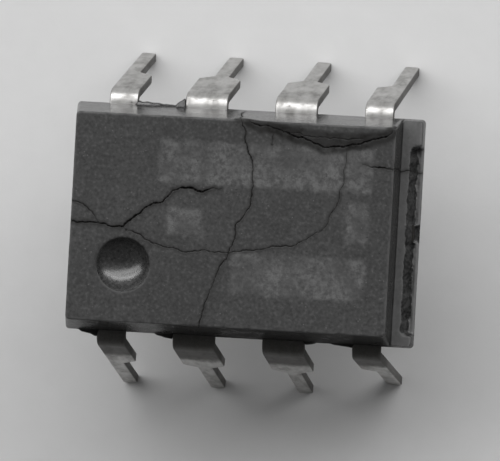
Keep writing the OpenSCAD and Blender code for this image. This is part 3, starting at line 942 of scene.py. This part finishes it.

# %% [markdown]
# ## Black moulding compound
#
# The package is epoxy filled with ground quartz and blackened with soot. The moulded skin is
# fine-grained and dark, a little glossy on the steep walls and duller on top, where handling
# has rubbed it. In the round mark and the ejector marks the mould was polished, so they gleam
# under a thin coat. Where the resin broke, the grain lies open and swallows light, and the
# ledges beside the break are paler. Painted shade lies in the cracks, in a soft band beside
# them, on the front wall and on the step's wall: a second shader, dark and matt, laid over the
# skin by a share.
#
# One colour and one roughness would look like a toy, so each is built from clouds of several
# sizes: broad ones for handling and dust, fine ones for the grain of the quartz.

# %% The finish of the moulding
def compound_finish():
    skin = Finish("black_moulding_compound", {"IOR": 1.55, "Coat IOR": 1.8, "Coat Roughness": 0.24})
    crack, stain_and_shade, broken, polished, wall, ledge, worn = (
        skin.mask(name)
        for name in ("crack", "stain_and_shade", "broken", "polished", "wall", "ledge", "worn")
    )
    broad, middle = skin.cloud(0.55, 4, 1.3), skin.cloud(3.2, 4, 7.7)
    grain, fine = skin.cloud(11, 3, 2.1), skin.cloud(30, 2, 9.4)
    quartz = skin.specks(7.5).rise(0.17, 0.08) * skin.cloud(2.3, 2, 5.5).rise(0.5, 0.62)
    pits = skin.specks(5.2).rise(0.16, 0.07) * skin.cloud(1.7, 2, 8.8).rise(0.5, 0.65)
    handled = broad.rise(0.35, 0.7) * 0.5 + middle.rise(0.35, 0.75) * 0.5
    # painted shade on the front wall and the step's wall, a little uneven
    painted_wall_shade = skin.mask("painted_wall_shade") * (0.7 + 0.2 * middle.rise(0.3, 0.6))
    skin.tone = skin.blend(skin.blend(0.018, 0.034, handled), 0.026, polished)
    skin.layer(0.075, grain.rise(0.5, 0.72) * 0.5)
    skin.layer(0.006, grain.rise(0.5, 0.32) * 0.75)
    skin.layer(0.11, quartz * 0.7)
    skin.layer(0.09, worn * middle.rise(0.35, 0.6) * 0.6)
    # lighter on the flat shelf and, most of all, on the flat rim beyond the break
    skin.layer(0.22, ledge * (0.35 + 0.5 * middle))
    skin.layer(0.13, worn_ink(skin))
    ragged = (broken + 1.3 * (middle - 0.5) + 0.5 * (grain - 0.5)).rise(0.4, 0.62)
    ragged = ragged * broken.rise(0.05, 0.3)
    skin.layer(skin.blend(0.006, 0.03, grain.rise(0.4, 0.6)), ragged)
    skin.layer(0.006, pits * 0.65)
    # painted shade: a dark matt cover in the cracks, in the band beside them and on the shaded
    # walls
    painted_shade = stain_and_shade.rise(0, 0.8) * (0.65 + 0.35 * middle.rise(0.35, 0.65)) * (
        0.75 + grain.rise(0.3, 0.7) * 0.25)
    painted_shade = painted_shade.or_more(painted_wall_shade).or_more(crack.rise(0.2, 0.9) * 0.85)
    rough = 0.62 - 0.4 * wall + 0.16 * (middle - 0.5) + 0.2 * (grain - 0.5) + 0.15 * ledge
    rough = rough - 0.36 * polished + 0.4 * ragged
    height = 0.5 * grain + 0.2 * fine - 0.35 * pits + 0.25 * quartz
    bumps = skin.relief(height + ragged * skin.cloud(16, 4, 3.3) * 3, 0.008)
    # the dark matt shader that carries the painted shade
    painted_shade_shader = skin.add("BsdfPrincipled", sockets={
        "Base Color": (0.008, 0.0075, 0.007, 1), "Roughness": 0.95, "Specular IOR Level": 0.15,
        "Normal": bumps})
    skin.cover(painted_shade_shader, painted_shade)
    return skin.done(Roughness=rough, Coat_Weight=0.35 * polished, Normal=bumps)


INK = [(-2.3, 3.72, 1.06, 2.24), (-2.0, -1.0, -0.38, 0.36), (3.06, 3.66, -0.38, 0.74),
       (-0.12, 3.64, -1.96, -0.8)]


def worn_ink(skin):
    """Plain printed fields on the top face, rubbed until little more than a haze is left."""
    parts = skin.add("SeparateXYZ", {}, {0: skin.place}).socket.node.outputs
    x, y, z = (Wire(skin, parts[k]) for k in range(3))
    frayed = 0.5 * (skin.cloud(2.5, 7, 4.4, 0.65) - 0.5)
    fields = None
    for x0, x1, y0, y1 in INK:
        aside = (x - (x0 + x1) / 2).size() - (x1 - x0) / 2 + frayed
        above = (y - (y0 + y1) / 2).size() - (y1 - y0) / 2 + frayed
        field = aside.or_more(above).rise(0.08, -0.08)
        fields = field if fields is None else fields.or_more(field)
    left = skin.cloud(1.4, 3, 6.6).rise(0.32, 0.62) * skin.cloud(6, 9, 3.9, 0.8).rise(0.4, 0.6)
    on_top = z.rise(body_high.z - 0.1, body_high.z - 0.05)
    return fields * on_top * (0.1 + 0.6 * left)


body.data.materials.append(compound_finish())

# %% [markdown]
# ## Tin plating, after some decades
#
# The leads were plated with tin, which leaves the works bright. With age it dulls to a mottled
# grey, darker where fingers or flux have been. The sheared sides of each lead show the darker
# alloy under the plating. Painted shade darkens each front lead near the body, where the body's
# shadow falls, and each back leg just past its bend. The masks from the forming step tell the
# finish where those sides and that shade are, so one finish serves all eight leads.

# %% The finish of the leads
def tin_finish():
    tin = Finish("dulled_tin_plating")
    tin.place = tin.add("VectorMath", {"operation": "MULTIPLY"},
                        {0: tin.place, 1: (1, 1, 0.35)})  # rolled strip: marks run down the leg
    side, reach, lead_shade = tin.mask("edge").rise(0.5, 0.95), tin.mask("reach"), tin.mask("lead_shade")
    broad, patches, fine = tin.cloud(0.9, 3, 2.2), tin.cloud(4, 4, 6.1, 0.55), tin.cloud(19, 3, 1.7)
    stain_and_shade = patches.rise(0.5, 0.72) * 0.6 + broad.rise(0.55, 0.75) * 0.3
    spots = tin.specks(4.5).rise(0.2, 0.08) * patches.rise(0.45, 0.6)
    # painted shade on the leads, from the forming step's mask, broken up by the patches
    shaded_lead = (lead_shade + 0.5 * (patches - 0.5) * lead_shade.rise(0.0, 0.3)).rise(0.1, 0.9)
    tin.tone = tin.blend((0.56, 0.555, 0.545, 1), (0.4, 0.395, 0.385, 1), patches.rise(0.3, 0.65))
    tin.layer((0.22, 0.215, 0.205, 1), stain_and_shade)
    tin.layer((0.1, 0.095, 0.09, 1), spots * 0.6)
    tin.layer((0.3, 0.29, 0.28, 1), reach.rise(0.75, 1.0) * patches * 0.5)
    # the dark tone that the painted shade lays on the leads
    shade_tone = tin.blend((0.025, 0.024, 0.022, 1), (0.09, 0.087, 0.08, 1), fine)
    tin.layer(shade_tone, shaded_lead * 0.95)
    tin.layer((0.06, 0.057, 0.053, 1), side * (0.75 + 0.25 * fine))
    rough = 0.36 + 0.16 * patches + 0.12 * stain_and_shade + 0.2 * side + 0.14 * shaded_lead + 0.1 * (fine - 0.5)
    height = 0.5 * patches + 0.25 * fine + 0.2 * spots
    metal = (1 - 0.4 * stain_and_shade) * (1 - 0.4 * side) * (1 - 0.5 * shaded_lead)
    return tin.done(Roughness=rough, Metallic=metal, Normal=tin.relief(height, 0.006))


tin_skin = tin_finish()
for n in LEADS:
    bpy.data.objects[f"formed_lead_{n}"].data.materials.append(tin_skin)

# %% [markdown]
# ## What lies inside
#
# Nobody sees the chip itself unless the package is cut open, but a model that is cut, or shown
# with its moulding hidden, should not fall apart into grey lumps. The paddle has a matt spot of
# silver on the plating, the paste under the die is epoxy crowded with silver flakes, the die is
# polished silicon under a thin coloured film with its circuit in small blocks, and the wires are
# drawn gold. These solids keep the shapes that they came with and only get their finishes.

# %% Finishes of the paddle, the paste, the die and the wires
def paddle_finish():
    sheet = Finish("silver_spot_plating", {"Metallic": 1.0})
    patches, fine = sheet.cloud(2.5, 4, 1.1), sheet.cloud(24, 3, 5.2)
    parts = sheet.add("SeparateXYZ", {}, {0: sheet.place}, "X")
    outside = parts.size().rise(4.2, 4.5)
    sheet.tone = sheet.blend((0.75, 0.74, 0.71, 1), (0.55, 0.53, 0.49, 1), patches.rise(0.35, 0.65))
    sheet.layer((0.05, 0.048, 0.045, 1), outside)
    rough = 0.38 + 0.15 * (patches - 0.5) + 0.15 * (fine - 0.5) + 0.35 * outside
    return sheet.done(Roughness=rough, Normal=sheet.relief(0.6 * fine + 0.4 * patches, 0.004))


def paste_finish():
    paste = Finish("silver_filled_paste")
    flakes, lumps = paste.specks(26), paste.cloud(8, 3, 2.6)
    paste.tone = paste.blend((0.42, 0.42, 0.4, 1), (0.7, 0.7, 0.68, 1), flakes.rise(0.5, 0.2))
    return paste.done(Roughness=0.62 - 0.2 * flakes.rise(0.5, 0.2), Metallic=0.35 + 0.4 * lumps,
                      Normal=paste.relief(flakes + lumps, 0.006))


def silicon_finish():
    wafer = Finish("patterned_silicon", {"IOR": 3.4})
    blocks, tracks = wafer.specks(5.5, 0.55, "CHEBYCHEV"), wafer.specks(22.0, 0.3, "CHEBYCHEV")
    film = wafer.cloud(1.4, 2, 3.1)
    lines = tracks.rise(0.34, 0.4).or_more(blocks.rise(0.36, 0.39))
    wafer.tone = wafer.blend((0.09, 0.1, 0.16, 1), (0.16, 0.12, 0.11, 1), film.rise(0.4, 0.6))
    wafer.layer((0.42, 0.42, 0.4, 1), lines * 0.6)
    return wafer.done(Metallic=0.25 + 0.5 * lines, Roughness=0.16 + 0.14 * lines + 0.08 * film,
                      Normal=wafer.relief(lines, 0.001))


def gold_finish():
    gold = Finish("drawn_gold", {"Metallic": 1.0})
    waves, fine = gold.cloud(7, 3, 4.8), gold.cloud(60, 2, 1.9)
    gold.tone = gold.blend((0.93, 0.66, 0.28, 1), (0.8, 0.52, 0.2, 1), waves.rise(0.4, 0.7))
    return gold.done(Roughness=0.2 + 0.16 * waves,
                     Normal=gold.relief(0.5 * waves + 0.5 * fine, 0.0012))


inner = {"die_paddle": paddle_finish(), "die_attach": paste_finish(), "die": silicon_finish()}
inner.update(dict.fromkeys((f"bond_wire_{n}" for n in LEADS), gold_finish()))
for name, material in inner.items():
    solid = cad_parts[name].data
    solid.materials.clear()
    solid.materials.append(material)
print("inner solids dressed:", len(inner))

# %% [markdown]
# ## The camera
#
# The chip is seen from almost straight above through a long lens, which keeps its sides nearly
# parallel. The camera leans a few degrees to the right of the plumb line, enough to see the
# stepped end, and is turned a little, as such a small thing never lies quite square.

# %% Camera
LEAN, TURN = math.radians(7.74), math.radians(3.22)
toward = Vector((math.sin(LEAN), 0.004, math.cos(LEAN)))
right = Vector((math.cos(LEAN), 0, -math.sin(LEAN)))
down = right.cross(toward)
aim = Vector((0, 0, PARTING)) + right * 0.1404 + down * 0.1637
LENS, DISTANCE = 642.7, 250.26
camera = put("camera", bpy.data.cameras.new("camera"))
camera.data.lens, camera.data.sensor_width = LENS, 36
camera.data.clip_start, camera.data.clip_end = 0.01, 10
picture_right = right * math.cos(TURN) - down * math.sin(TURN)
picture_up = -(right * math.sin(TURN) + down * math.cos(TURN))
axes = Matrix((picture_right, picture_up, toward)).transposed().to_4x4()
camera.matrix_world = Matrix.Translation((aim + toward * DISTANCE) * MM) @ axes
bpy.context.scene.camera = camera
print("camera stands", round(camera.matrix_world.translation.z, 3), "m up")

# %% [markdown]
# ## Floor and light
#
# A pale floor, and two long strip lamps beyond the far side of the chip. Together they draw the
# bright band in the round mark, give the leads their white bends and throw the soft shadow in
# front. The sky is brighter beyond the chip than in front of it, so everything that shines
# shows its slope. Each lamp's power is worked out from the share of the light that it should
# bring to the floor, so that all of them light a white sheet to just about white.

# %% Floor, lamps and sky
def pale_floor():
    paper = Finish("pale_floor")
    fibres = paper.cloud(1.5, 4, 3.0)
    paper.tone = paper.blend(0.61, 0.65, fibres)
    return paper.done(Roughness=0.85 + 0.1 * fibres, Normal=paper.relief(fibres, 0.01))


floor_mesh = bpy.data.meshes.new("floor")
floor_mesh.from_pydata([(-2, -2, 0), (2, -2, 0), (2, 2, 0), (-2, 2, 0)], [], [(0, 1, 2, 3)])
floor_mesh.materials.append(pale_floor())
floor = put("floor", floor_mesh)
floor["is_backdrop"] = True


def strip_lamp(name, height, turned, share, wide, tall, away=0.3):
    """A strip lamp beyond the far side, height and turned in degrees, that lights the floor with
    the given share of full daylight."""
    up, aside = math.radians(height), math.radians(turned)
    d = Vector((math.sin(aside) * math.cos(up), math.cos(aside) * math.cos(up), math.sin(up)))
    data = bpy.data.lights.new(name, "AREA")
    data.shape, data.size, data.size_y = "RECTANGLE", wide, tall
    # each stretch of the strip sends its light by the cosine law, thinned by distance squared
    stretch = np.linspace(-wide / 2, wide / 2, 201)
    arriving = np.mean(away ** 2 * math.sin(up) / (away ** 2 + stretch ** 2) ** 2)
    data.energy = share * math.pi ** 2 / arriving
    lamp = put(name, data)
    lamp.location = d * away
    lamp.rotation_euler = d.to_track_quat("Z", "Y").to_euler()
    lamp.visible_camera = False
    print(name, "lamp:", round(data.energy, 2), "W")


strip_lamp("low", 40, -8, 0.34, 1.3, 0.06)
strip_lamp("high", 60, -12, 0.4, 1.3, 0.1)
world = bpy.data.worlds.new("sky")
sky = Network(world)
away = sky.add("SeparateXYZ", {}, {0: sky.add("TexCoord", output="Generated")}, "Y")
strength = sky.add("MapRange", {"interpolation_type": "SMOOTHSTEP"}, {
    "Value": away, "From Min": -0.1, "From Max": 0.35, "To Min": 0.1, "To Max": 0.42})
sky.fill(sky.tree.nodes["Background"], {"Strength": strength, "Color": (1, 1, 1, 1)})
bpy.context.scene.world = world
bpy.context.scene.view_settings.view_transform = "Standard"

# %% [markdown]
# ## The last measurements
#
# The dressed part must be the size of its solids, so how far its box has grown past theirs is
# printed, axis by axis.

# %% Sizes, and the end
seen_box = [list(corner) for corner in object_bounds()]
for before, after in zip(cad_box, seen_box):
    print("grown by, mm:", [round((b - a) / MM, 3) for a, b in zip(before, after)])
